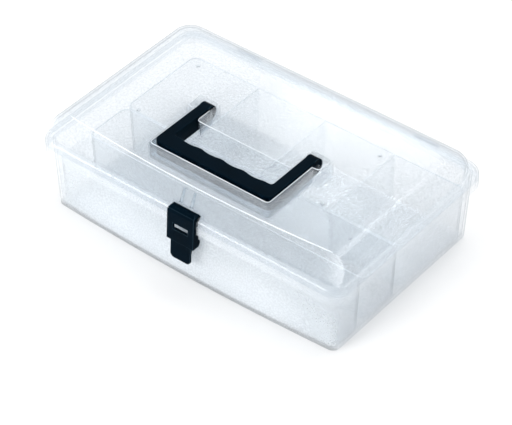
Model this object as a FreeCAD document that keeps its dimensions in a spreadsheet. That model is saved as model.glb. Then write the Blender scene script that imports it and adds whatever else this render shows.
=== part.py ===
import FreeCAD, Part
import math
import os
import Sketcher

# Clear hobby and sewing box, 320 mm long: a moulded base, a hinged lid with a folding black
# handle, a black front latch, and three lift-out trays, the rear one with loose dividers.
# Frame: +X to the right along the front, +Y to the back, +Z up. The origin is the middle of the
# face that the box stands on. Lengths are in millimetres.

doc = FreeCAD.newDocument("sewing_box")
sheet = doc.addObject("Spreadsheet::Sheet", "Sizes")

SIZES = {
    # base
    "base_half_length": 150,
    "base_half_depth": 92.9,
    "base_bow": 4.6,
    "base_corner": 7,
    "base_flare": 3.5,
    "base_top": 70.5,
    "wall": 1.8,
    # rim: the lip of the base and the bead of the lid share one outline
    "rim_half_length": 160,
    "rim_back": 101,
    "rim_front": 103,
    "rim_corner": 17,
    "lip_bottom": 59,
    "parting": 67,
    "bead_top": 74.5,
    "bead_round": 5.5,
    # lid dome
    "dome_half_length": 156.5,
    "dome_back": 93.5,
    "dome_corner": 17,
    "top_corner": 9,
    "dome_lean": 1.8,
    "lid_top": 96,
    "shoulder_rise": 16,
    "side_shoulder": 16,
    "back_shoulder": 24,
    "slope_foot": 98.5,
    "slope_foot_bow": 1.5,
    "crease": 82,
    "crease_bow": 9,
    # handle and its channel
    "handle_half_length": 61.2,
    "handle_front": 66,
    "handle_top": 97.5,
    "handle_depth": 14.6,
    "leg_width": 9.8,
    "grip_width": 15.4,
    "finger_pitch": 22.5,
    "finger_dip": 1.9,
    "pivot_back": 3.2,
    "pivot_height": 90.2,
    "barrel_radius": 7.3,
    "stub_radius": 2,
    "running_gap": 0.08,
    "channel_half_length": 62.6,
    "channel_front": 69.5,
    "channel_back": 5.6,
    "pocket_half_length": 69.6,
    "pocket_front": 11.5,
    "channel_floor": 80.5,
    "island_half_length": 50,
    "island_front": 23,
    "channel_corner": 3,
    "stub_length": 6.8,
    "long_stub": 14,
    # latch: a clip that hangs from a barrel lying in a recess of the bead and the sloped front
    "latch_half_width": 14,
    "latch_plate": 2,
    "latch_head_face": 105.2,
    "latch_chin_face": 107,
    "latch_chin": 44,
    "latch_foot": 25.5,
    "latch_back": 99.6,
    "tab_half_width": 10.6,
    "tab_face": 105.8,
    "tab_round": 4,
    "jaw_back": 97.8,
    "jaw_top": 50.4,
    "latch_pivot_front": 99.6,
    "latch_pivot_height": 73.7,
    "latch_barrel": 3.4,
    "latch_skin": 1.2,
    "latch_pin_length": 24,
    "pin_radius": 1.1,
    "lug_width": 3.6,
    "lug_spacing": 11,
    "lug_eye": 2.2,
    "notch_half_width": 14.8,
    "seat_face": 95.9,
    "seat_wall": 1.4,
    "seat_foot": 68.5,
    "recess_top": 77.6,
    "window_width": 16,
    "window_height": 6,
    "window_foot": 55.8,
    # rear hinge
    "hinge_back": 104.4,
    "hinge_radius": 2.6,
    "hinge_station": 96,
    "ear_width": 6,
    "knuckle_width": 12,
    "knuckle_gap": 0.4,
    # trays
    "tray_wall": 1.2,
    "tray_flare": 1.2,
    "tray_corner": 8,
    "tray_bottom": 2.2,
    "tray_top": 50,
    "tray_half_length": 148.2,
    "tray_gap": 0.6,
    "rear_tray_back": 90.6,
    "rear_tray_front": 3.4,
    "front_tray_back": 53.5,
    "front_tray_front": 90.9,
    "front_tray_bow": 3.5,
    "divider_thickness": 1.4,
    "divider_pitch": 74,
    "guide_width": 1.1,
    "guide_depth": 1.0,
}
for row, (alias, size) in enumerate(SIZES.items(), start=1):
    sheet.set("A%d" % row, alias)
    sheet.set("B%d" % row, str(size))
    sheet.setAlias("B%d" % row, alias)
doc.recompute()


def bound(text):
    """The expression text with each size's alias pointing at the spreadsheet."""
    words = []
    for word in text.replace("(", " ( ").replace(")", " ) ").split():
        words.append("Sizes." + word if word in SIZES else word)
    return " ".join(words)


probe = doc.addObject("App::FeaturePython", "probe")
probe.addProperty("App::PropertyFloat", "result")


def worth(text):
    """The number that an expression text comes to, for a sketch's first drawing."""
    probe.setExpression("result", bound(text))
    probe.recompute()
    return probe.result


def bind(thing, **properties):
    """Ties properties of a document object to expressions; _ in a name stands for a dot."""
    for name, text in properties.items():
        thing.setExpression(name.replace("_at_", "."), bound(text))


def place(thing, x="0", y="0", z="0", turn=None):
    """Ties where a primitive lies to expressions, after an optional fixed turn."""
    if turn is not None:
        thing.Placement.Rotation = turn
    for axis, text in (("x", x), ("y", y), ("z", z)):
        thing.setExpression(".Placement.Base." + axis, bound(text))


SHOULDER_STEPS = 5
ALONG_X = FreeCAD.Rotation(FreeCAD.Vector(0, 1, 0), 90)
UP = FreeCAD.Vector(0, 0, 1)


def new_body(label):
    body = doc.addObject("PartDesign::Body", label)
    body.Label = label
    return body


def origin_plane(body, role):
    return next(item for item in body.Origin.OriginFeatures if item.Role == role)


def new_sketch(body, name, role="XY_Plane", offset="0"):
    """A sketch on one of the body's own planes, moved along the plane's normal."""
    sketch = body.newObject("Sketcher::SketchObject", name)
    sketch.AttachmentSupport = [(origin_plane(body, role), "")]
    sketch.MapMode = "FlatFace"
    sketch.setExpression(".AttachmentOffset.Base.z", bound(offset))
    return sketch


def datum(sketch, kind, *where, text):
    """A driving dimension of a sketch, tied to an expression."""
    index = sketch.addConstraint(Sketcher.Constraint(kind, *where, worth(text)))
    sketch.setExpression("Constraints[%d]" % index, bound(text))


def add_loop(sketch, half, back, front, corner, bow=None):
    """A rounded rectangle from y = front to y = back. With a bow, the front swells by that
    much in the middle. Its arcs and lines run anticlockwise from the middle of the back."""
    h, b, f, c = worth(half), worth(back), worth(front), worth(corner)
    if bow is None:
        front_edge = Part.LineSegment(FreeCAD.Vector(-h + c, f, 0), FreeCAD.Vector(h - c, f, 0))
        corner_y = f + c
        lean = 0.0
    else:
        swell = worth(bow)
        radius = (h * h + swell * swell) / (2 * swell)
        centre_y = f - swell + radius
        corner_y = centre_y - math.sqrt((radius - c) ** 2 - (h - c) ** 2)
        lean = math.atan2(h - c, centre_y - corner_y)
        circle = Part.Circle(FreeCAD.Vector(0, centre_y, 0), UP, radius)
        front_edge = Part.ArcOfCircle(circle, -math.pi / 2 - lean, -math.pi / 2 + lean)

    def corner_arc(x, y, start, end):
        circle = Part.Circle(FreeCAD.Vector(x, y, 0), UP, c)
        return Part.ArcOfCircle(circle, start, end)

    quarter = math.pi / 2
    first = sketch.GeometryCount
    edges = [
        Part.LineSegment(FreeCAD.Vector(h - c, b, 0), FreeCAD.Vector(-h + c, b, 0)),
        corner_arc(-h + c, b - c, quarter, 2 * quarter),
        Part.LineSegment(FreeCAD.Vector(-h, b - c, 0), FreeCAD.Vector(-h, corner_y, 0)),
        corner_arc(-h + c, corner_y, 2 * quarter, 3 * quarter - lean),
        front_edge,
        corner_arc(h - c, corner_y, 3 * quarter + lean, 4 * quarter),
        Part.LineSegment(FreeCAD.Vector(h, corner_y, 0), FreeCAD.Vector(h, b - c, 0)),
        corner_arc(h - c, b - c, 0, quarter),
    ]
    for edge in edges:
        sketch.addGeometry(edge, False)
    back_line, left_line, front_line, right_line = first, first + 2, first + 4, first + 6
    for step in range(8):
        here, after = first + step, first + (step + 1) % 8
        sketch.addConstraint(Sketcher.Constraint("Tangent", here, 2, after, 1))
    sketch.addConstraint(Sketcher.Constraint("Horizontal", back_line))
    sketch.addConstraint(Sketcher.Constraint("Vertical", left_line))
    sketch.addConstraint(Sketcher.Constraint("Vertical", right_line))
    for arc in (first + 3, first + 5, first + 7):
        sketch.addConstraint(Sketcher.Constraint("Equal", first + 1, arc))
    datum(sketch, "Radius", first + 1, text=corner)
    datum(sketch, "DistanceX", -1, 1, right_line, 1, text=half)
    datum(sketch, "DistanceX", left_line, 1, -1, 1, text=half)
    datum(sketch, "DistanceY", -1, 1, back_line, 1, text=back)
    if bow is None:
        sketch.addConstraint(Sketcher.Constraint("Horizontal", front_line))
        datum(sketch, "DistanceY", -1, 1, front_line, 1, text=front)
    else:
        sweep = "( %s ) * ( %s ) / ( 2 * ( %s ) ) + ( %s ) / 2" % (half, half, bow, bow)
        sketch.addConstraint(Sketcher.Constraint("PointOnObject", front_line, 3, -2))
        datum(sketch, "Radius", front_line, text=sweep)
        datum(sketch, "DistanceY", -1, 1, front_line, 3, text="%s - ( %s ) + %s" % (front, bow, sweep))


def outline(body, name, height, **loop):
    sketch = new_sketch(body, name, offset=height)
    add_loop(sketch, **loop)
    return sketch


def loft(body, name, lower, *upper, cut=False, ruled=True):
    """A loft up through outlines, added to the body or cut out of it."""
    kind = "PartDesign::SubtractiveLoft" if cut else "PartDesign::AdditiveLoft"
    feature = body.newObject(kind, name)
    feature.Profile = lower
    feature.Sections = list(upper)
    feature.Ruled = ruled
    return feature


def pad(body, name, sketch, length, reverse=False, midplane=False):
    feature = body.newObject("PartDesign::Pad", name)
    feature.Profile = sketch
    bind(feature, Length=length)
    feature.Reversed = reverse
    feature.Midplane = midplane
    return feature


def through_cut(body, name, sketch):
    """A pocket that goes right through the body, both ways from its sketch."""
    feature = body.newObject("PartDesign::Pocket", name)
    feature.Profile = sketch
    feature.Type = "ThroughAll"
    feature.Midplane = True
    return feature


def box(body, name, length, width, height, x, y, z, cut=False):
    kind = "PartDesign::SubtractiveBox" if cut else "PartDesign::AdditiveBox"
    feature = body.newObject(kind, name)
    bind(feature, Length=length, Width=width, Height=height)
    place(feature, x, y, z)
    return feature


def rod(body, name, radius, length, x, y, z, cut=False):
    """A cylinder along X that starts at x."""
    kind = "PartDesign::SubtractiveCylinder" if cut else "PartDesign::AdditiveCylinder"
    feature = body.newObject(kind, name)
    bind(feature, Radius=radius, Height=length)
    place(feature, x, y, z, turn=ALONG_X)
    return feature


def polygon(body, name, corners, role="YZ_Plane", offset="0"):
    """A closed sketch of straight lines whose corners are pairs of expressions."""
    sketch = new_sketch(body, name, role, offset)
    points = [FreeCAD.Vector(worth(a), worth(b), 0) for a, b in corners]
    count = len(points)
    for step in range(count):
        sketch.addGeometry(Part.LineSegment(points[step], points[(step + 1) % count]), False)
    for step in range(count):
        following = (step + 1) % count
        sketch.addConstraint(Sketcher.Constraint("Coincident", step, 2, following, 1))
    for step, (across, up) in enumerate(corners):
        datum(sketch, "DistanceX", -1, 1, step, 1, text=across)
        datum(sketch, "DistanceY", -1, 1, step, 1, text=up)
    return sketch


def round_edges(body, name, radius, chosen):
    """A fillet on the edges of the body's tip for which chosen(edge) is true."""
    doc.recompute()
    tip = body.Tip
    names = ["Edge%d" % (n + 1) for n, edge in enumerate(tip.Shape.Edges) if chosen(edge)]
    feature = body.newObject("PartDesign::Fillet", name)
    feature.Base = (tip, names)
    bind(feature, Radius=radius)
    doc.recompute()
    return feature


def at_height(height):
    """Picks edges that lie flat at one height."""
    level = worth(height)
    return lambda edge: all(abs(v.Z - level) < 0.01 for v in edge.Vertexes)


def combine(kind, label, first, *others):
    """A boolean of whole objects: Part::Cut, Part::Common or Part::MultiFuse."""
    feature = doc.addObject(kind, label)
    feature.Label = label
    if kind == "Part::MultiFuse":
        feature.Shapes = [first, *others]
    else:
        feature.Base = first
        feature.Tool = others[0]
    return feature


# ---------------------------------------------------------------- base shell
def hinge_barrels(body, name, starts, width, web_bottom, web_height, web_front):
    """Barrels on the rear hinge line, each with a web that reaches forward to the rim."""
    for number, start in enumerate(starts):
        rod(body, "%s_barrel_%d" % (name, number), "hinge_radius", width, start, "hinge_back", "parting")
        box(
            body, "%s_web_%d" % (name, number), width, "hinge_back - %s" % web_front, web_height,
            start, web_front, web_bottom,
        )


def make_base():
    body = new_body("base_shell")
    foot = dict(half="base_half_length", back="base_half_depth", front="0 - base_half_depth",
                corner="base_corner", bow="base_bow")
    head = dict(half="base_half_length + base_flare", back="base_half_depth + base_flare",
                front="0 - base_half_depth - base_flare", corner="base_corner + base_flare",
                bow="base_bow - base_flare")
    loft(body, "tub", outline(body, "foot_outline", "0", **foot),
         outline(body, "head_outline", "base_top", **head))
    # the lip: a flat ring, then a skirt that hangs from its outer edge
    ring = outline(body, "ring_outline", "parting - wall", half="rim_half_length", back="rim_back",
                   front="0 - rim_front", corner="rim_corner")
    pad(body, "ring", ring, "wall")
    skirt = new_sketch(body, "skirt_outline", offset="lip_bottom")
    add_loop(skirt, "rim_half_length", "rim_back", "0 - rim_front", "rim_corner")
    add_loop(skirt, "rim_half_length - wall", "rim_back - wall", "0 - rim_front + wall",
             "rim_corner - wall")
    pad(body, "skirt", skirt, "parting - lip_bottom")
    cavity_foot = {name: text for name, text in foot.items()}
    cavity_foot.update(half="base_half_length - wall", back="base_half_depth - wall",
                       front="0 - base_half_depth + wall", corner="base_corner - wall")
    cavity_head = dict(head)
    cavity_head.update(half="base_half_length + base_flare - wall",
                       back="base_half_depth + base_flare - wall",
                       front="0 - base_half_depth - base_flare + wall",
                       corner="base_corner + base_flare - wall")
    loft(body, "cavity", outline(body, "cavity_foot", "wall", **cavity_foot),
         outline(body, "cavity_head", "base_top", **cavity_head), cut=True)
    # the latch's lower jaw stands in this gap of the lip
    box(body, "latch_notch", "2 * notch_half_width", "6", "parting - lip_bottom",
        "0 - notch_half_width", "0 - rim_front - 0.6", "lip_bottom", cut=True)
    # and the walls of the lid's recess reach down into this one of the front wall
    box(body, "recess_relief", "2 * ( notch_half_width + seat_wall + 0.4 )", "8", "5",
        "0 - notch_half_width - seat_wall - 0.4", "0 - seat_face - 5", "base_top - 2.3", cut=True)
    # rear hinge: two ears at each of two stations
    inner = "knuckle_width / 2 + knuckle_gap"
    starts = []
    for side in ("hinge_station", "0 - hinge_station"):
        starts.append("%s + %s" % (side, inner))
        starts.append("%s - ( %s ) - ear_width" % (side, inner))
    hinge_barrels(body, "ear", starts, "ear_width", "lip_bottom + 3", "parting - lip_bottom - 3",
                  "rim_back - wall / 2")
    for number, start in enumerate(starts):
        rod(body, "ear_bore_%d" % number, "pin_radius", "ear_width", start, "hinge_back", "parting",
            cut=True)
    return body


# ---------------------------------------------------------------- lid shell
def lid_form(label, inset):
    """The lid as a solid block, with every face moved in by the inset: a rim with a rounded
    bead, and a dome whose front slopes down from a crisp, bowed crease."""
    rim = new_body(label + "_rim")
    bead = outline(rim, label + "_bead", "parting", half="rim_half_length - %s" % inset,
                   back="rim_back - %s" % inset, front="0 - rim_front + %s" % inset,
                   corner="rim_corner - %s" % inset)
    pad(rim, label + "_slab", bead, "bead_top - parting - %s" % inset)
    round_edges(rim, label + "_rim_round", "bead_round - %s" % inset,
                at_height("bead_top - %s" % inset))
    dome = new_body(label + "_dome")
    reach = "0 - rim_front - 12"
    levels = [outline(dome, label + "_dome_foot", "parting", front=reach,
                      half="dome_half_length - %s" % inset, back="dome_back - %s" % inset,
                      corner="dome_corner - %s" % inset)]
    # above the straight walls the outlines draw in along a quarter of an ellipse
    for step in range(SHOULDER_STEPS + 1):
        angle = math.pi / 2 * step / SHOULDER_STEPS
        across, drop = "%.6f" % (1 - math.cos(angle)), "%.6f" % (1 - math.sin(angle))
        levels.append(outline(
            dome, "%s_shoulder_%d" % (label, step),
            "lid_top - %s - ( shoulder_rise - %s ) * %s" % (inset, inset, drop),
            front=reach,
            half="dome_half_length - dome_lean - %s - ( side_shoulder - %s ) * %s" % (inset, inset, across),
            back="dome_back - dome_lean - %s - ( back_shoulder - %s ) * %s" % (inset, inset, across),
            corner="dome_corner - %s - ( dome_corner - top_corner ) * %s" % (inset, across),
        ))
    loft(dome, label + "_dome_loft", *levels, ruled=False)
    keeper = new_body(label + "_keeper")
    keep = dict(half="dome_half_length + 4", back="dome_back + 4", corner="3")
    loft(keeper, label + "_slope",
         outline(keeper, label + "_slope_foot", "parting", front="0 - slope_foot + %s" % inset,
                 bow="slope_foot_bow", **keep),
         outline(keeper, label + "_slope_head", "lid_top", front="0 - crease + %s" % inset,
                 bow="crease_bow", **keep))
    front = combine("Part::Common", label + "_front", dome, keeper)
    return combine("Part::MultiFuse", label + "_form", rim, front)


def channel_form(label, grow, bottom, top):
    """The U-shaped space that the folded handle lies in, grown outward by a margin. It is
    wider at its two ends, beside the handle's pivots."""
    body = new_body(label)
    outer, inner = "channel_half_length + %s" % grow, "island_half_length - %s" % grow
    front, step = "0 - channel_front - %s" % grow, "0 - island_front + %s" % grow
    back, wide = "channel_back + %s" % grow, "pocket_half_length + %s" % grow
    pocket = "0 - pocket_front - %s" % grow
    sketch = polygon(body, label + "_outline", [
        ("0 - ( %s )" % wide, back), ("0 - ( %s )" % wide, pocket), ("0 - ( %s )" % outer, pocket),
        ("0 - ( %s )" % outer, front), (outer, front), (outer, pocket), (wide, pocket), (wide, back),
        (inner, back), (inner, step), ("0 - ( %s )" % inner, step), ("0 - ( %s )" % inner, back),
    ], role="XY_Plane", offset=bottom)
    pad(body, label + "_pad", sketch, "%s - ( %s )" % (top, bottom))
    round_edges(body, label + "_corners", "channel_corner",
                lambda edge: abs(edge.Vertexes[0].Z - edge.Vertexes[-1].Z) > 1)
    return body


def cylinder(label, radius, length, x, y, z):
    """A free-standing cylinder along X that starts at x."""
    feature = doc.addObject("Part::Cylinder", label)
    bind(feature, Radius=radius, Height=length)
    place(feature, x, y, z, turn=ALONG_X)
    return feature


def block(label, length, width, height, x, y, z):
    feature = doc.addObject("Part::Box", label)
    bind(feature, Length=length, Width=width, Height=height)
    place(feature, x, y, z)
    return feature


def lid_lug(label, x):
    """An ear on the lid that holds the latch pin, and above it a shallow rib on the slope."""
    body = new_body(label)
    pivot_y, pivot_z = "0 - latch_pivot_front", "latch_pivot_height"
    ear = polygon(body, label + "_ear", [
        (pivot_y, pivot_z + " - 2.1"), (pivot_y + " + 1.9", pivot_z + " - 1.1"),
        (pivot_y + " + 3.8", pivot_z + " - 2"), (pivot_y + " + 4.6", pivot_z + " - 2.1"),
        (pivot_y + " + 4.6", pivot_z + " - 4.6"), (pivot_y + " + 1.7", pivot_z + " - 4.6"),
        (pivot_y + " + 1.5", pivot_z + " - 3.4"),
    ], offset=x)
    pad(body, label + "_ear_pad", ear, "lug_width", midplane=True)
    rod(body, label + "_eye", "lug_eye", "lug_width", x + " - lug_width / 2", pivot_y, pivot_z)
    return body


def slope_rib(label, x):
    body = new_body(label)
    pivot_y, pivot_z = "0 - latch_pivot_front", "latch_pivot_height"
    rib = polygon(body, label + "_side", [
        (pivot_y + " + 2", pivot_z + " + 5.5"), (pivot_y + " + 7.5", pivot_z + " + 17.8"),
        (pivot_y + " + 8.6", pivot_z + " + 17.4"), (pivot_y + " + 4.6", pivot_z + " + 5.1"),
    ], offset=x)
    pad(body, label + "_pad", rib, "lug_width", midplane=True)
    return body


def make_lid():
    outer = lid_form("lid_outer", "0")
    inner = lid_form("lid_inner", "wall")
    shell = combine("Part::Cut", "lid_skin", outer, inner)
    trough = channel_form("trough", "wall", "channel_floor - wall", "lid_top - wall / 2")
    channel = channel_form("channel", "0", "channel_floor", "lid_top + 4")
    added = [trough]
    for side, sign in (("left", "0 - "), ("right", "")):
        station = "( %shinge_station )" % sign
        added.append(cylinder("knuckle_" + side, "hinge_radius", "knuckle_width",
                              station + " - knuckle_width / 2", "hinge_back", "parting"))
        added.append(block("knuckle_web_" + side, "knuckle_width", "hinge_back - rim_back + 1",
                           "hinge_radius", station + " - knuckle_width / 2", "rim_back - 1",
                           "parting"))
    # walls round the recess for the latch's barrel, kept within the lid's own outline
    seat = block("latch_seat_block", "2 * notch_half_width + 2 * seat_wall", "7",
                 "recess_top + seat_wall - seat_foot", "0 - notch_half_width - seat_wall",
                 "0 - seat_face - 7 + seat_wall", "seat_foot")
    added.append(combine("Part::Common", "latch_seat", seat, outer))
    body = combine("Part::MultiFuse", "lid_with_fittings", shell, *added)
    notch = block("latch_notch_cut", "2 * notch_half_width", "12", "recess_top - parting + 2",
                  "0 - notch_half_width", "0 - seat_face - 12", "parting - 2")
    voids = combine("Part::MultiFuse", "lid_voids", channel, notch)
    hollow = combine("Part::Cut", "lid_channelled", body, voids)
    stubs = [hollow]
    for side, sign in (("left", "0 - "), ("right", "")):
        stubs.append(lid_lug("lug_" + side, sign + "lug_spacing / 2"))
        stubs.append(slope_rib("rib_" + side, sign + "lug_spacing / 2"))
    for side, length, start in (
        ("inner_right", "stub_length", "island_half_length - wall / 2"),
        ("inner_left", "stub_length", "0 - island_half_length + wall / 2 - stub_length"),
        ("outer_right", "long_stub", "pocket_half_length + wall / 2 - long_stub"),
        ("outer_left", "long_stub", "0 - pocket_half_length - wall / 2"),
    ):
        stubs.append(cylinder("stub_" + side, "stub_radius", length, start,
                              "0 - pivot_back", "pivot_height"))
    bossed = combine("Part::MultiFuse", "lid_bossed", *stubs)
    bores = [
        cylinder("latch_bore", "pin_radius + running_gap / 2", "2 * latch_half_width",
                 "0 - latch_half_width", "0 - latch_pivot_front", "latch_pivot_height"),
        cylinder("knuckle_bores", "pin_radius + running_gap / 2", "3 * hinge_station",
                 "0 - 1.5 * hinge_station", "hinge_back", "parting"),
    ]
    return combine("Part::Cut", "lid_shell", bossed,
                   combine("Part::MultiFuse", "lid_bores", *bores))


# ---------------------------------------------------------------- handle
def make_handle():
    body = new_body("carry_handle")
    half, front, back = "handle_half_length", "0 - handle_front", "0 - pivot_back"
    inner, grip = "handle_half_length - leg_width", "0 - handle_front + grip_width"
    plan = polygon(body, "handle_plan", [
        ("0 - " + half, back), ("0 - " + half, front), (half, front), (half, back),
        (inner, back), (inner, grip), ("0 - ( %s )" % inner, grip), ("0 - ( %s )" % inner, back),
    ], role="XY_Plane", offset="handle_top - handle_depth")
    pad(body, "handle_pad", plan, "handle_depth")
    round_edges(body, "handle_corners", "6",
                lambda edge: abs(edge.Vertexes[0].Z - edge.Vertexes[-1].Z) > 1
                and edge.Vertexes[0].Y < worth(front) + 1)
    round_edges(body, "handle_inner_corners", "2.5",
                lambda edge: abs(edge.Vertexes[0].Z - edge.Vertexes[-1].Z) > 1
                and abs(edge.Vertexes[0].Y - worth(grip)) < 0.1)
    top = at_height("handle_top")
    round_edges(body, "handle_soft_edges", "1",
                lambda edge: top(edge) and min(v.Y for v in edge.Vertexes) < worth(back) - 1)
    # each leg ends in a full round about the pivot
    for side, start in (("left", "0 - " + half), ("right", inner)):
        rod(body, "barrel_" + side, "barrel_radius", "leg_width", start, back, "pivot_height")
    # four finger dips along the inside of the grip
    dip = new_sketch(body, "finger_dip", offset="handle_top")
    start_x, depth = worth("0 - 2 * finger_pitch"), worth("finger_dip")
    pitch, edge_y = worth("finger_pitch"), worth(grip)
    radius = (pitch * pitch / 4 + depth * depth) / (2 * depth)
    middle = FreeCAD.Vector(start_x + pitch / 2, edge_y - depth + radius, 0)
    spread = math.asin(pitch / 2 / radius)
    arc = Part.ArcOfCircle(Part.Circle(middle, UP, radius), -math.pi / 2 - spread, -math.pi / 2 + spread)
    dip.addGeometry(arc, False)
    dip.addGeometry(Part.LineSegment(FreeCAD.Vector(start_x + pitch, edge_y, 0),
                                     FreeCAD.Vector(start_x, edge_y, 0)), False)
    dip.addConstraint(Sketcher.Constraint("Coincident", 0, 2, 1, 1))
    dip.addConstraint(Sketcher.Constraint("Coincident", 1, 2, 0, 1))
    dip.addConstraint(Sketcher.Constraint("Horizontal", 1))
    datum(dip, "DistanceX", 0, 1, -1, 1, text="2 * finger_pitch")
    datum(dip, "DistanceX", 0, 1, 0, 2, text="finger_pitch")
    datum(dip, "DistanceY", -1, 1, 0, 1, text=grip)
    datum(dip, "Radius", 0, text="( finger_pitch * finger_pitch / 4 + finger_dip * finger_dip )"
                                 " / ( 2 * finger_dip )")
    dip_cut = through_cut(body, "finger_dip_cut", dip)
    dips = body.newObject("PartDesign::LinearPattern", "finger_dips")
    dips.Originals = [dip_cut]
    dips.Direction = (dip, ["H_Axis"])
    bind(dips, Length="3 * finger_pitch")
    dips.Occurrences = 4
    body.Tip = dips
    for side, start in (("left", "0 - " + half + " - 1"), ("right", inner + " - 1")):
        rod(body, "bore_" + side, "stub_radius + running_gap", "leg_width + 2", start, back,
            "pivot_height", cut=True)
    return body


# ---------------------------------------------------------------- latch
def make_latch():
    body = new_body("latch")
    pivot_y, pivot_z = "0 - latch_pivot_front", "latch_pivot_height"
    side = polygon(body, "latch_side", [
        ("0 - latch_head_face", pivot_z + " - 1.6"), ("0 - latch_head_face + 0.8", pivot_z + " + 1.2"),
        (pivot_y + " - 2.2", pivot_z + " + latch_barrel - 0.7"), (pivot_y, pivot_z + " + latch_barrel"),
        (pivot_y, pivot_z), ("0 - latch_back", pivot_z + " - 2.6"),
        ("0 - latch_back", "jaw_top + 0.6"), ("0 - jaw_back", "jaw_top - 1"),
        ("0 - jaw_back", "latch_chin + 2.4"), ("0 - latch_back", "latch_chin - 0.2"),
        ("0 - tab_face + 1.8", "latch_chin - 4.6"), ("0 - tab_face + 1", "latch_chin - 8"),
        ("0 - tab_face + 0.6", "latch_foot"), ("0 - latch_chin_face", "latch_foot"),
        ("0 - tab_face", "latch_chin - 0.8"), ("0 - latch_chin_face", "latch_chin"),
    ])
    pad(body, "latch_block", side, "2 * latch_half_width", midplane=True)
    rod(body, "latch_barrel", "latch_barrel", "2 * latch_half_width", "0 - latch_half_width",
        pivot_y, pivot_z)
    # the head's upper corners are rounded off
    for side, sign in (("left", "0 - "), ("right", "")):
        edge, top = "( latch_half_width )", "( latch_pivot_height + latch_barrel )"
        corner = polygon(body, "head_corner_" + side, [
            (sign + edge + " %s 1" % ("-" if sign else "+"), top + " + 1"),
            ("%s( latch_half_width - 3.4 )" % sign, top + " + 1"),
            ("%s( latch_half_width - 3.4 )" % sign, top),
            ("%s( latch_half_width - 1.7 )" % sign, top + " - 0.45"),
            ("%s( latch_half_width - 0.5 )" % sign, top + " - 1.6"),
            ("%s( latch_half_width )" % sign, top + " - 3.2"),
            (sign + edge + " %s 1" % ("-" if sign else "+"), top + " - 3.2"),
        ], role="XZ_Plane")
        through_cut(body, "head_corner_cut_" + side, corner)
    # the finger tab is narrower than the clip, with rounded lower corners
    for number, start in enumerate(("0 - latch_half_width - 1", "tab_half_width")):
        box(body, "tab_side_%d" % number, "latch_half_width + 1 - tab_half_width", "30",
            "latch_chin - 0.4 - latch_foot + 1", start, "0 - latch_chin_face - 5", "latch_foot - 1",
            cut=True)
    round_edges(body, "tab_rounds", "tab_round",
                lambda edge: at_height("latch_foot")(edge)
                and abs(edge.Vertexes[0].X - edge.Vertexes[-1].X) < 0.01)
    inside = "2 * ( latch_half_width - latch_plate )"
    box(body, "latch_hollow", inside, "20", "latch_pivot_height - 4.2 - jaw_top",
        "0 - ( latch_half_width - latch_plate )", "0 - latch_head_face + latch_plate", "jaw_top", cut=True)
    box(body, "latch_window", "window_width", "12", "window_height",
        "0 - window_width / 2", "0 - latch_chin_face - 1", "window_foot", cut=True)
    for number, sign in enumerate(("", "0 - ")):
        box(body, "lug_gap_%d" % number, "lug_width + 0.8", "12", "latch_barrel - latch_skin + 6",
            "%slug_spacing / 2 - lug_width / 2 - 0.4" % sign, pivot_y + " - lug_eye - 0.2",
            pivot_z + " - 6", cut=True)
    rod(body, "latch_pin_bore", "pin_radius", "latch_pin_length", "0 - latch_pin_length / 2",
        pivot_y, pivot_z, cut=True)
    return body


def make_pin(label, length, start, y, z):
    pin = cylinder(label, "pin_radius", length, start, y, z)
    pin.Label = label
    return pin


# ---------------------------------------------------------------- trays
def make_tray(label, back, front, back_flare, front_flare, bow=None):
    """An open tray with rounded corners, a little wider at the top. back and front are the
    places of its walls at the top; each flare says how much nearer they are at the bottom."""
    body = new_body(label)

    def level(name, height, shrink, inset):
        loop = dict(
            half="tray_half_length - %s - %s" % (shrink, inset),
            back="%s - %s * %s - %s" % (back, back_flare, shrink, inset),
            front="%s + %s * %s + %s" % (front, front_flare, shrink, inset),
            corner="tray_corner - %s" % inset,
        )
        if bow is not None:
            loop["bow"] = bow
        return outline(body, name, height, **loop)

    loft(body, label + "_block", level(label + "_foot", "tray_bottom", "tray_flare", "0"),
         level(label + "_head", "tray_top", "0", "0"))
    loft(body, label + "_hollow",
         level(label + "_floor", "tray_bottom + tray_wall", "tray_flare", "tray_wall"),
         level(label + "_mouth", "tray_top", "0", "tray_wall"), cut=True)
    return body


def add_guides(tray):
    """Pairs of ribs on the front and back walls of the rear tray, which hold the dividers."""
    floor = "tray_bottom + tray_wall"
    across = "divider_thickness / 2 + 0.15"
    for wall_name, y in (("front", "0 - rear_tray_front + tray_wall"),
                         ("back", "rear_tray_back - tray_wall - tray_flare - guide_depth")):
        for number, x in enumerate((across, "0 - ( %s ) - guide_width" % across)):
            for place_number in range(3):
                shift = "( %d ) * divider_pitch" % (place_number - 1)
                name = "guide_%s_%d_%d" % (wall_name, number, place_number)
                box(tray, name, "guide_width", "guide_depth + tray_flare",
                    "tray_top - 3 - ( %s )" % floor, "%s + %s" % (shift, x), y, floor)


def make_divider(label, number):
    """A loose plate that slides down between two pairs of guides."""
    body = new_body(label)
    floor = "tray_bottom + tray_wall + 0.3"
    near, far = "0 - rear_tray_front + tray_gap / 2 + tray_wall + 0.3", "rear_tray_back - tray_wall - 0.3"
    sheet_side = polygon(body, label + "_side", [
        (near + " + tray_flare", floor), (far + " - tray_flare", floor),
        (far, "tray_top - 0.4"), (near, "tray_top - 0.4"),
    ], offset="( %d ) * divider_pitch" % number)
    pad(body, label + "_pad", sheet_side, "divider_thickness", midplane=True)
    return body


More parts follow.
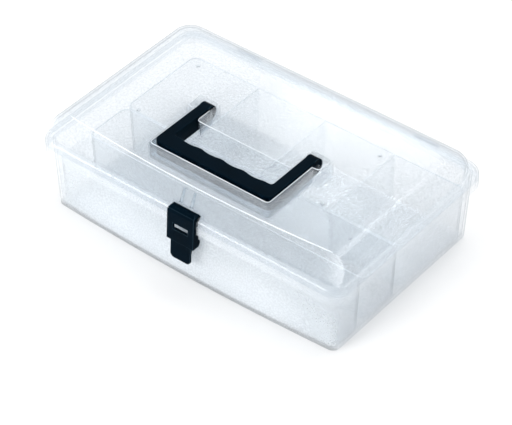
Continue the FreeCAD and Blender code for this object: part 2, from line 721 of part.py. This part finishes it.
# ---------------------------------------------------------------- the whole box
ear_reach = "( knuckle_width / 2 + knuckle_gap + ear_width )"
pieces = [make_base(), make_lid(), make_handle(), make_latch()]
pieces.append(make_pin("latch_pin", "latch_pin_length", "0 - latch_pin_length / 2",
                       "0 - latch_pivot_front", "latch_pivot_height"))
for side, sign in (("left", "0 - "), ("right", "")):
    pieces.append(make_pin("hinge_pin_" + side, "2 * " + ear_reach,
                           "%shinge_station - %s" % (sign, ear_reach), "hinge_back", "parting"))
rear_tray = make_tray("rear_tray", "rear_tray_back", "0 - rear_tray_front + tray_gap / 2", "1", "1")
add_guides(rear_tray)
pieces.append(rear_tray)
pieces.append(make_tray("middle_tray", "0 - rear_tray_front - tray_gap / 2",
                        "0 - front_tray_back + tray_gap / 2", "1", "1"))
pieces.append(make_tray("front_tray", "0 - front_tray_back - tray_gap / 2",
                        "0 - front_tray_front", "1", "1", bow="front_tray_bow"))
for number, side in enumerate(("left", "middle", "right")):
    pieces.append(make_divider("divider_" + side, number - 1))
doc.removeObject("probe")
doc.recompute()

for thing in doc.Objects:
    if "Invalid" in thing.State or "Error" in thing.State:
        raise RuntimeError("%s failed: %s" % (thing.Name, thing.State))
os.makedirs("parts", exist_ok=True)
for piece in pieces:
    shape = piece.Shape
    if shape.isNull() or not shape.isValid() or len(shape.Solids) != 1:
        raise RuntimeError("%s is not one valid solid" % piece.Label)
    shape.exportStep("parts/%s.step" % piece.Label)
    print("%-18s %9.0f mm3" % (piece.Label, shape.Volume))
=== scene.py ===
import math

import bmesh
import bpy
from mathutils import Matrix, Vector


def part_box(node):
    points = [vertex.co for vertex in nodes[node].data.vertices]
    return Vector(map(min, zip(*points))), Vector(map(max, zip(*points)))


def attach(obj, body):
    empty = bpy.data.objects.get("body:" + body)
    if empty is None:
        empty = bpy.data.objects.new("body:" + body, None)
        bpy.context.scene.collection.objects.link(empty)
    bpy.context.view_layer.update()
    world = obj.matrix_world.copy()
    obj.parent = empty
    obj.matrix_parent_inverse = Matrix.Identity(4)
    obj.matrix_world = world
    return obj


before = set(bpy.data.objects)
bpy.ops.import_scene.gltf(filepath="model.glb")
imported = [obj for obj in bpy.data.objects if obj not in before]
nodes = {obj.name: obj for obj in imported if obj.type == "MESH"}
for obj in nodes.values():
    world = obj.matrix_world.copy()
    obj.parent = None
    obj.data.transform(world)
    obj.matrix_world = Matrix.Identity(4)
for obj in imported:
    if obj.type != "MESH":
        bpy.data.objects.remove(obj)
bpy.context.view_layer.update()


# ---------------------------------------------------------------- node helpers
class Nodes:
    """A material's node tree, with short ways to add and link nodes."""

    def __init__(self, name):
        self.material = bpy.data.materials.new(name)
        self.material.use_nodes = True
        self.tree = self.material.node_tree
        self.tree.nodes.clear()
        self.output = self.tree.nodes.new("ShaderNodeOutputMaterial")

    def add(self, kind, **settings):
        node = self.tree.nodes.new("ShaderNode" + kind)
        for key, value in settings.items():
            if hasattr(node, key):
                setattr(node, key, value)
            else:
                node.inputs[key.replace("_", " ")].default_value = value
        return node

    def link(self, source, target):
        self.tree.links.new(source, target)

    def object_noise(self, scale, detail, stretch=(1, 1, 1)):
        place = self.add("TexCoord")
        mapping = self.add("Mapping")
        mapping.inputs["Scale"].default_value = stretch
        self.link(place.outputs["Object"], mapping.inputs["Vector"])
        noise = self.add("TexNoise")
        noise.inputs["Scale"].default_value = scale
        noise.inputs["Detail"].default_value = detail
        self.link(mapping.outputs["Vector"], noise.inputs["Vector"])
        return noise.outputs["Fac"]

    def ramp(self, source, *stops):
        ramp = self.add("ValToRGB")
        while len(ramp.color_ramp.elements) < len(stops):
            ramp.color_ramp.elements.new(0.5)
        for element, (position, colour) in zip(ramp.color_ramp.elements, stops):
            element.position = position
            element.color = (*colour, 1) if len(colour) == 3 else (colour[0],) * 3 + (1,)
        self.link(source, ramp.inputs["Fac"])
        return ramp.outputs["Color"]

    def map_range(self, source, start, end, low, high):
        change = self.add("MapRange", interpolation_type="SMOOTHSTEP")
        change.inputs["From Min"].default_value = start
        change.inputs["From Max"].default_value = end
        change.inputs["To Min"].default_value = low
        change.inputs["To Max"].default_value = high
        self.link(source, change.inputs["Value"])
        return change.outputs["Result"]

    def times(self, first, second):
        product = self.add("Math", operation="MULTIPLY")
        self.link(first, product.inputs[0])
        self.link(second, product.inputs[1])
        return product.outputs[0]

    def dimmed(self, colour, share):
        """The colour less the given share of itself."""
        keep = self.add("Math", operation="SUBTRACT")
        keep.inputs[0].default_value = 1.0
        self.link(share, keep.inputs[1])
        scaled = self.add("VectorMath", operation="SCALE")
        self.link(colour, scaled.inputs[0])
        self.link(keep.outputs[0], scaled.inputs["Scale"])
        return scaled.outputs[0]

    def bump(self, height, strength, distance):
        bump = self.add("Bump")
        bump.inputs["Strength"].default_value = strength
        bump.inputs["Distance"].default_value = distance
        self.link(height, bump.inputs["Height"])
        return bump.outputs["Normal"]


# EDGE_ON is where the layer weight's facing measure counts as a wall seen along its depth; the
# foot constant is how deep the painted shadow along the front wall's foot goes, and the fade
# constant the share of the front wall's painted light that is left at the wall's ends and top
PALE_MILK = ((0.91, 0.945, 0.975), (0.945, 0.970, 0.990))
EDGE_ON = 0.97
FOOT_PAINTED_SHADOW = 0.15
PAINTED_GLOW_FADE = 0.35
HEAD_ON_SHINE, GRAZING_SHINE, SHINE_POWER = 0.04, 0.9, 5.0


def clear_plastic(name, tint, edge_tint, edge_start, milk, edge_milk, grain_scale, gloss_roughness,
                  milk_shades=PALE_MILK, painted_front_glow=None):
    """Clear moulded plastic: light goes through with a slight tint that deepens where the wall
    is seen edge-on, a little is scattered both ways as milkiness, and the skin is glossy.
    An optional extra milkiness on the front wall, given as an amount and the y at which the
    front wall begins, paints a bright band of light there, strongest low down in the wall's
    middle; with it comes a painted shadow, a deeper tint in a line along the wall's foot."""
    m = Nodes(name)
    facing = m.add("LayerWeight", Blend=0.5).outputs["Facing"]
    through = m.add("BsdfTransparent")
    clear = m.ramp(facing, (0.0, tint), (edge_start, tint), (EDGE_ON, edge_tint))
    if painted_front_glow is not None:
        glow_amount, front_y = painted_front_glow
        split = m.add("SeparateXYZ")
        m.link(m.add("TexCoord").outputs["Object"], split.inputs[0])
        on_front = m.map_range(split.outputs["Y"], front_y, front_y - 0.003, 0.0, 1.0)
        # painted shadow: the tint deepens in a line along the front wall's foot
        painted_foot_shadow = m.map_range(split.outputs["Z"], 0.0050, 0.0010, 0.0, FOOT_PAINTED_SHADOW)
        foot = m.times(on_front, painted_foot_shadow)
        clear = m.dimmed(clear, foot)
    m.link(clear, through.inputs["Color"])

    grain = m.object_noise(grain_scale, detail=2.0)
    flow = m.object_noise(14.0, detail=3.0, stretch=(0.4, 1, 1))
    normal = m.bump(grain, 0.12, 0.0003)
    front = m.add("BsdfDiffuse")
    behind = m.add("BsdfTranslucent")
    milk_tint = m.ramp(flow, (0.3, milk_shades[0]), (0.75, milk_shades[1]))
    for shader in (front, behind):
        m.link(milk_tint, shader.inputs["Color"])
        m.link(normal, shader.inputs["Normal"])
    scatter = m.add("MixShader")
    scatter.inputs[0].default_value = 0.5
    m.link(front.outputs[0], scatter.inputs[1])
    m.link(behind.outputs[0], scatter.inputs[2])

    speckle = m.ramp(grain, (0.40, (milk * 0.25,)), (0.64, (milk * 2.3,)))
    rim = m.ramp(facing, (edge_start, (0.0,)), (EDGE_ON, (edge_milk,)))
    share = m.add("Math", operation="ADD", use_clamp=True)
    m.link(speckle, share.inputs[0])
    m.link(rim, share.inputs[1])
    if painted_front_glow is not None:
        # painted light: extra milkiness low down in the front wall's middle paints a bright band
        # there
        above_foot = m.map_range(split.outputs["Z"], 0.0015, 0.0060, 0.0, glow_amount)
        low_down = m.map_range(split.outputs["Z"], 0.066, 0.012, PAINTED_GLOW_FADE, 1.0)
        spread = m.add("Math", operation="ABSOLUTE")
        m.link(split.outputs["X"], spread.inputs[0])
        middle = m.map_range(spread.outputs[0], 0.15, 0.07, PAINTED_GLOW_FADE, 1.0)
        painted_glow_patch = m.times(m.times(m.times(on_front, above_foot), low_down), middle)
        total = m.add("Math", operation="ADD", use_clamp=True)
        m.link(share.outputs[0], total.inputs[0])
        m.link(painted_glow_patch, total.inputs[1])
        share = total
    cloudy = m.add("MixShader")
    m.link(share.outputs[0], cloudy.inputs[0])
    m.link(through.outputs[0], cloudy.inputs[1])
    m.link(scatter.outputs[0], cloudy.inputs[2])

    skin = m.add("BsdfGlossy", Roughness=gloss_roughness)
    m.link(normal, skin.inputs["Normal"])
    grazing = m.add("Math", operation="POWER")
    m.link(facing, grazing.inputs[0])
    grazing.inputs[1].default_value = SHINE_POWER
    mirror = m.add("Math", operation="MULTIPLY_ADD")
    m.link(grazing.outputs[0], mirror.inputs[0])
    mirror.inputs[1].default_value = GRAZING_SHINE
    mirror.inputs[2].default_value = HEAD_ON_SHINE
    surface = m.add("MixShader")
    m.link(mirror.outputs[0], surface.inputs[0])
    m.link(cloudy.outputs[0], surface.inputs[1])
    m.link(skin.outputs[0], surface.inputs[2])
    m.link(surface.outputs[0], m.output.inputs["Surface"])
    return m.material


EDGE_ROUNDING = 0.0010


def black_plastic(name, colour, edge_highlight_colour, roughness):
    """Black moulded plastic with a fine spark-eroded grain, and patches a little paler and duller."""
    m = Nodes(name)
    body = m.add("BsdfPrincipled")
    wear = m.object_noise(60.0, detail=4.0)
    darker = tuple(level * 0.8 for level in colour)
    lighter = tuple(level * 1.3 for level in colour)
    shade = m.ramp(wear, (0.3, darker), (0.75, lighter))
    # the bevel stands for the small rounding of moulded edges, most of which the solids leave
    # sharp: a painted highlight makes an edge paler the further it turns away from its flat face
    rounding = m.add("Bevel", samples=4)
    rounding.inputs["Radius"].default_value = EDGE_ROUNDING
    flat = m.add("NewGeometry")
    same = m.add("VectorMath", operation="DOT_PRODUCT")
    m.link(rounding.outputs["Normal"], same.inputs[0])
    m.link(flat.outputs["Normal"], same.inputs[1])
    edge_highlight = m.add("Mix", data_type="RGBA")
    m.link(m.map_range(same.outputs["Value"], 0.995, 0.86, 0.0, 1.0), edge_highlight.inputs["Factor"])
    m.link(shade, edge_highlight.inputs["A"])
    edge_highlight.inputs["B"].default_value = (*edge_highlight_colour, 1)
    m.link(edge_highlight.outputs["Result"], body.inputs["Base Color"])
    dull = m.ramp(wear, (0.2, (roughness - 0.06,)), (0.8, (roughness + 0.08,)))
    m.link(dull, body.inputs["Roughness"])
    body.inputs["Specular IOR Level"].default_value = 0.02
    body.inputs["Specular Tint"].default_value = (0.3, 0.85, 1.0, 1)
    m.link(m.bump(m.object_noise(2600.0, detail=2.0), 0.35, 0.0001), body.inputs["Normal"])
    m.link(body.outputs[0], m.output.inputs["Surface"])
    return m.material


def steel(name):
    """Bright drawn steel with fine streaks along the pins, which all lie across the box."""
    m = Nodes(name)
    body = m.add("BsdfPrincipled", Metallic=1.0)
    streaks = m.object_noise(900.0, detail=3.0, stretch=(0.05, 1, 1))
    shade = m.ramp(streaks, (0.3, (0.80, 0.82, 0.84)), (0.7, (0.92, 0.93, 0.95)))
    m.link(shade, body.inputs["Base Color"])
    m.link(m.ramp(streaks, (0.3, (0.22,)), (0.8, (0.4,))), body.inputs["Roughness"])
    m.link(body.outputs[0], m.output.inputs["Surface"])
    return m.material


LID = clear_plastic("lid_clear", (0.974, 0.983, 0.990), (0.60, 0.66, 0.71), 0.62,
                    0.070, 0.12, 480.0, 0.14,
                    milk_shades=((0.78, 0.83, 0.88), (0.86, 0.90, 0.94)))
WALL = clear_plastic("wall_clear", (0.84, 0.88, 0.91), (0.62, 0.68, 0.73), 0.70,
                     0.10, 0.10, 480.0, 0.20)
BASE = clear_plastic("base_clear", (0.987, 0.992, 0.997), (0.58, 0.64, 0.69), 0.68,
                     0.06, 0.12, 700.0, 0.12, painted_front_glow=(0.56, -0.088))
TRAY = clear_plastic("tray_clear", (0.989, 0.994, 0.998), (0.50, 0.56, 0.61), 0.62,
                     0.025, 0.08, 700.0, 0.15)
BLACK = black_plastic("black_plastic", (0.0006, 0.0036, 0.0078), (0.020, 0.042, 0.060), 0.40)
STEEL = steel("pin_steel")

for name, material in (
    ("lid_shell", LID), ("base_shell", BASE), ("rear_tray", TRAY), ("middle_tray", TRAY),
    ("front_tray", TRAY), ("divider_left", TRAY), ("divider_middle", TRAY),
    ("divider_right", TRAY), ("carry_handle", BLACK), ("latch", BLACK), ("latch_pin", STEEL),
    ("hinge_pin_left", STEEL), ("hinge_pin_right", STEEL),
):
    for slot in nodes[name].material_slots:
        slot.material = material


# ---------------------------------------------------------------- moulded details
def new_piece(name, mesh_maker, material, body):
    """A piece the solids do not have, riding on the body it is moulded into."""
    mesh = bpy.data.meshes.new(name)
    bm = bmesh.new()
    mesh_maker(bm)
    bmesh.ops.recalc_face_normals(bm, faces=bm.faces)
    bm.to_mesh(mesh)
    bm.free()
    for polygon in mesh.polygons:
        polygon.use_smooth = True
    piece = bpy.data.objects.new(name, mesh)
    bpy.context.scene.collection.objects.link(piece)
    mesh.materials.append(material)
    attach(piece, body)


def skin_over(bm, rings, closed=False):
    """Side faces from each ring of corners to the next, then an end face on the first and last
    ring, or a closed loop without ends."""
    count = len(rings[0])
    pairs = list(zip(rings, rings[1:]))
    if closed:
        pairs.append((rings[-1], rings[0]))
    for first, second in pairs:
        for j in range(count):
            bm.faces.new((first[j], first[(j + 1) % count], second[(j + 1) % count], second[j]))
    if not closed:
        bm.faces.new(rings[0])
        bm.faces.new(rings[-1])


def pip_maker(x, y, z, radius, height):
    """A small round ejector mark: a flat disc with a raised, rounded rim."""
    # shares of the radius, and of the height there
    profile = [(0.0, 0.35), (0.55, 0.3), (0.75, 0.55), (0.88, 0.95), (0.97, 0.8), (1.0, 0.0)]
    sides = 28

    def make(bm):
        rings = []
        for share, rise in profile:
            if share == 0.0:
                rings.append([bm.verts.new((x, y, z + rise * height))])
                continue
            rings.append([
                bm.verts.new((x + radius * share * math.cos(2 * math.pi * k / sides),
                              y + radius * share * math.sin(2 * math.pi * k / sides),
                              z + rise * height))
                for k in range(sides)
            ])
        for k in range(sides):
            bm.faces.new((rings[0][0], rings[1][k], rings[1][(k + 1) % sides]))
        for inner, outer in zip(rings[1:], rings[2:]):
            for k in range(sides):
                bm.faces.new((inner[k], outer[k], outer[(k + 1) % sides], inner[(k + 1) % sides]))
        bm.faces.new(list(reversed(rings[-1])))

    return make


def painted_highlight_bead(name):
    """The polished, rounded edge of clear plastic, with a painted highlight: a white, partly
    opaque colour stands in for the light that such an edge gathers.
    """
    m = Nodes(name)
    body = m.add("BsdfPrincipled", Roughness=0.15)
    flow = m.object_noise(40.0, detail=2.0)
    shade = m.ramp(flow, (0.3, (0.84, 0.90, 0.96)), (0.7, (0.92, 0.96, 0.99)))
    m.link(shade, body.inputs["Base Color"])
    clear = m.add("BsdfTransparent")
    mix = m.add("MixShader")
    m.link(m.ramp(flow, (0.3, (0.55,)), (0.8, (0.85,))), mix.inputs[0])
    m.link(clear.outputs[0], mix.inputs[1])
    m.link(body.outputs[0], mix.inputs[2])
    m.link(mix.outputs[0], m.output.inputs["Surface"])
    return m.material


PAINTED_HIGHLIGHT = painted_highlight_bead("painted_highlight_bead")


BEAD_SIDES = 8


def bead_maker(path, radius, closed=False):
    """A fine round bead along a path of points, with capped ends, or a loop if closed."""
    def make(bm):
        rings = []
        count = len(path)
        for k, point in enumerate(path):
            here = Vector(point)
            before = Vector(path[(k - 1) % count] if closed or k else path[k])
            after = Vector(path[(k + 1) % count] if closed or k < count - 1 else path[k])
            along = (after - before).normalized()
            side = along.cross(Vector((0, 0, 1))).normalized()
            up = side.cross(along)
            rings.append([
                bm.verts.new(here + radius * (math.cos(turn) * side + math.sin(turn) * up))
                for turn in (2 * math.pi * j / BEAD_SIDES for j in range(BEAD_SIDES))
            ])
        skin_over(bm, rings, closed)
    return make


# the crease along the lid's bowed front edge, part of a large circle
LID_TOP = 0.096
BEAD_SUNK = 0.0002
CREASE_BEAD, CREASE_STEPS = 0.0005, 60
CREASE_END, CREASE_FRONT, CREASE_BOW, CREASE_HALF = 0.1385, -0.082, 0.009, 0.1605
crease_radius = CREASE_HALF ** 2 / (2 * CREASE_BOW) + CREASE_BOW / 2
crease = []
for k in range(CREASE_STEPS + 1):
    x = CREASE_END * (2 * k / CREASE_STEPS - 1)
    y = CREASE_FRONT - CREASE_BOW + crease_radius - math.sqrt(crease_radius ** 2 - x * x)
    crease.append((x, y + BEAD_SUNK, LID_TOP - BEAD_SUNK))
# the bead carries a painted highlight along the crease
new_piece("crease_edge", bead_maker(crease, CREASE_BEAD), PAINTED_HIGHLIGHT, "lid")


CORNER_STEPS = 6


def rounded(left, right, front, back, corner, z):
    """A closed loop of points round a rectangle with rounded corners."""
    points = []
    for centre_x, centre_y, start in (
        (right - corner, back - corner, 0), (left + corner, back - corner, 90),
        (left + corner, front + corner, 180), (right - corner, front + corner, 270),
    ):
        for k in range(CORNER_STEPS + 1):
            turn = math.radians(start + 90 * k / CORNER_STEPS)
            x = centre_x + corner * math.cos(turn)
            y = centre_y + corner * math.sin(turn)
            points.append((x, y, z))
    return points


# the moulded edges of the handle's channel, and of the island between the handle's legs
ISLAND_BEAD, CHANNEL_BEAD = 0.00035, 0.0004
RIM, CHANNEL_FOOT = LID_TOP - BEAD_SUNK, 0.0803
BEND, BEND_MIDDLE = 0.0030, 0.0009
ISLAND_SIDE, ISLAND_BACK, ISLAND_FRONT = -0.0500, -0.0065, -0.0230
CHANNEL_SIDE, CHANNEL_BACK, CHANNEL_FRONT = -0.0626, -0.0118, -0.0695
EAR_SIDE, EAR_BACK, EAR_FRONT = -0.0696, 0.0050, -0.0115
FOOT_SCALE = 0.998


def bend(side, front):
    """Three plan points round a small corner, from the left side to the front."""
    middle = (side + BEND_MIDDLE, front + BEND_MIDDLE)
    return [(side, front + BEND), middle, (side + BEND, front)]


def mirrored(left_half):
    """A path of plan points that goes on as its own mirror image."""
    return left_half + [(-x, y) for x, y in reversed(left_half)]


def at_height(path, z):
    """Plan points as points in space, all at one height."""
    return [(x, y, z) for x, y in path]


# the beads along these edges carry a painted highlight
island = mirrored([(ISLAND_SIDE, ISLAND_BACK)] + bend(ISLAND_SIDE, ISLAND_FRONT))
island_maker = bead_maker(at_height(island, RIM), ISLAND_BEAD)
new_piece("island_edge", island_maker, PAINTED_HIGHLIGHT, "lid")
ear = [(EAR_SIDE, EAR_BACK)] + bend(EAR_SIDE, EAR_FRONT)
channel_side = [(CHANNEL_SIDE, CHANNEL_BACK)] + bend(CHANNEL_SIDE, CHANNEL_FRONT)
channel = mirrored(channel_side)
outline = at_height(mirrored(ear + channel_side), RIM)
new_piece("channel_edge", bead_maker(outline, CHANNEL_BEAD), PAINTED_HIGHLIGHT, "lid")
foot = [(x * FOOT_SCALE, y * FOOT_SCALE, CHANNEL_FOOT) for x, y in channel]
new_piece("channel_foot", bead_maker(foot, CHANNEL_BEAD), PAINTED_HIGHLIGHT, "lid")


def ribbon_maker(path, bottom, top, thickness):
    """An upright strip along a path of plan points: both faces, both long edges and the ends."""
    def make(bm):
        columns = []
        count = len(path)
        for k, (x, y) in enumerate(path):
            before = Vector(path[max(k - 1, 0)])
            after = Vector(path[min(k + 1, count - 1)])
            along = (after - before).normalized()
            aside = Vector((along.y, -along.x)) * thickness / 2
            columns.append([
                bm.verts.new((x + side * aside.x, y + side * aside.y, z))
                for side, z in ((-1, bottom), (1, bottom), (1, top), (-1, top))
            ])
        skin_over(bm, columns)
    return make


# the walls of the channel are seen along their depth, so they look darker than the rest
WALL_STRIP, WALL_OUT = 0.0002, 0.0009
wall_path = []
for x, y in channel:
    forward = WALL_OUT if y < CHANNEL_FRONT + BEND / 2 else 0.0
    wall_path.append((x + math.copysign(WALL_OUT, x), y - forward))
wall_maker = ribbon_maker(wall_path, CHANNEL_FOOT, RIM, WALL_STRIP)
new_piece("channel_wall", wall_maker, WALL, "lid")
island_wall = [(-0.0491, -0.0040), (-0.0491, -0.0195), (-0.0484, -0.0214), (-0.0466, -0.0222)]
wall_maker = ribbon_maker(island_wall, CHANNEL_FOOT, RIM, WALL_STRIP)
new_piece("island_wall", wall_maker, WALL, "lid")

# the faces of the two ribs above the latch
RIB_FOOT, RIB_HEAD = Vector((0.0, -0.0976, 0.0792)), Vector((0.0, -0.0921, 0.0915))
RIB_STEPS = 8
RIB_TAPER = 0.25
RIB_LIFT = 0.00002
RIB_APART, RIB_HALF_WIDTH = 0.0055, 0.0018


def rib_maker(centre, half_width, thickness):
    """A thin strip that lies on a rib's sloping outer face, narrower towards its head."""
    def make(bm):
        slope = (RIB_HEAD - RIB_FOOT).normalized()
        out = Vector((0.0, -slope.z, slope.y))
        rings = []
        for k in range(RIB_STEPS + 1):
            here = RIB_FOOT.lerp(RIB_HEAD, k / RIB_STEPS)
            wide = half_width * (1.0 - RIB_TAPER * k / RIB_STEPS)
            rings.append([
                bm.verts.new(here + Vector((centre + side * wide, 0, 0)) + out * lift)
                for side, lift in ((-1, RIB_LIFT), (1, RIB_LIFT), (1, thickness), (-1, thickness))
            ])
        skin_over(bm, rings)
    return make


for side, centre in (("left", -RIB_APART), ("right", RIB_APART)):
    face_maker = rib_maker(centre, RIB_HALF_WIDTH, WALL_STRIP)
    new_piece("rib_face_" + side, face_maker, WALL, "lid")

# the rolled top edges of the rear and middle trays and of the dividers
TRAY_EDGE, TRAY_CORNER = 0.0500, 0.0068
ROLL_RADIUS, WALL_MIDDLE, DIVIDER_END = 0.00045, 0.0006, 0.0005
# the rolls are beads that carry a painted highlight
for tray in ("rear_tray", "middle_tray"):
    tray_low, tray_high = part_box(tray)
    loop = rounded(tray_low[0] + WALL_MIDDLE, tray_high[0] - WALL_MIDDLE,
                   tray_low[1] + WALL_MIDDLE, tray_high[1] - WALL_MIDDLE, TRAY_CORNER, TRAY_EDGE)
    roll_maker = bead_maker(loop, ROLL_RADIUS, closed=True)
    new_piece(tray + "_edge", roll_maker, PAINTED_HIGHLIGHT, tray)
for divider in ("divider_left", "divider_middle", "divider_right"):
    wall_low, wall_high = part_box(divider)
    x, z = (wall_low[0] + wall_high[0]) / 2, wall_high[2]
    line = [(x, wall_low[1] + DIVIDER_END, z), (x, wall_high[1] - DIVIDER_END, z)]
    roll_maker = bead_maker(line, ROLL_RADIUS)
    new_piece(divider + "_edge", roll_maker, PAINTED_HIGHLIGHT, "rear_tray")

# the round ejector marks on the lid and on the floor of the base
BASE_FLOOR = 0.0018
PIP_SUNK, PIP_RADIUS = 0.00002, 0.002
LID_PIP_HEIGHT, FLOOR_PIP_HEIGHT = 0.0004, 0.0003
lid_places = ((-0.097, 0.035), (0.097, 0.035), (-0.097, -0.043), (0.097, -0.043))
for number, (x, y) in enumerate(lid_places):
    mark_maker = pip_maker(x, y, LID_TOP - PIP_SUNK, PIP_RADIUS, LID_PIP_HEIGHT)
    new_piece("lid_pip_%d" % number, mark_maker, LID, "lid")
floor_places = ((-0.077, 0.024), (0.077, 0.024), (-0.077, -0.061), (0.077, -0.061))
for number, (x, y) in enumerate(floor_places):
    mark_maker = pip_maker(x, y, BASE_FLOOR - PIP_SUNK, PIP_RADIUS, FLOOR_PIP_HEIGHT)
    new_piece("floor_pip_%d" % number, mark_maker, BASE, "base")


# ---------------------------------------------------------------- stage, light and camera
def plain_floor():
    """A plain white sheet just under the part."""
    bm = bmesh.new()
    bmesh.ops.create_grid(bm, x_segments=2, y_segments=2, size=6.0)
    mesh = bpy.data.meshes.new("floor")
    bm.to_mesh(mesh)
    bm.free()
    floor = bpy.data.objects.new("floor", mesh)
    bpy.context.scene.collection.objects.link(floor)
    floor.location.z = -0.0002
    m = Nodes("floor_white")
    body = m.add("BsdfPrincipled", Roughness=0.9)
    body.inputs["Base Color"].default_value = (0.84, 0.84, 0.84, 1)
    body.inputs["Specular IOR Level"].default_value = 0.0
    m.link(body.outputs[0], m.output.inputs["Surface"])
    mesh.materials.append(m.material)


plain_floor()


def area_light(name, location, target, size, power):
    """A white rectangular lamp turned towards its target."""
    data = bpy.data.lights.new(name, "AREA")
    data.shape = "RECTANGLE"
    data.size, data.size_y = size
    data.energy = power
    lamp = bpy.data.objects.new(name, data)
    lamp.location = location
    lamp.rotation_mode = "QUATERNION"
    lamp.rotation_quaternion = (Vector(target) - Vector(location)).to_track_quat("-Z", "Y")
    bpy.context.scene.collection.objects.link(lamp)


area_light("top_soft", (0.1, 0.4, 1.6), (0, 0, 0), (1.6, 1.2), 2.0)
area_light("back_key", (0.20, 0.90, 1.90), (0, 0, 0), (1.2, 1.0), 10.0)
area_light("back_window", (-0.869, 1.3906, 1.35), (0.05, 0.085, 0.096), (0.30, 0.12), 0.6)
area_light("front_left_soft", (-0.75, -1.7, 0.75), (0, -0.05, 0.03), (1.3, 0.9), 21.0)

world = bpy.data.worlds.new("studio")
world.use_nodes = True
world.node_tree.nodes["Background"].inputs["Color"].default_value = (1, 1, 1, 1)
world.node_tree.nodes["Background"].inputs["Strength"].default_value = 0.985
bpy.context.scene.world = world
bpy.context.scene.view_settings.view_transform = "Standard"
# light meets many clear walls on its way through the trays
bpy.context.scene.cycles.transparent_max_bounces = 40

AZIMUTH, ELEVATION = math.radians(38.61), math.radians(40.79)
towards = Vector((math.sin(AZIMUTH) * math.cos(ELEVATION),
                  -math.cos(AZIMUTH) * math.cos(ELEVATION), math.sin(ELEVATION)))
camera_data = bpy.data.cameras.new("camera")
camera_data.lens = 168.94
camera_data.sensor_width = 36
camera = bpy.data.objects.new("camera", camera_data)
camera.location = (0.9676, -1.2184, 1.3482)
camera.rotation_mode = "QUATERNION"
camera.rotation_quaternion = (-towards).to_track_quat("-Z", "Y")
bpy.context.scene.collection.objects.link(camera)
bpy.context.scene.camera = camera
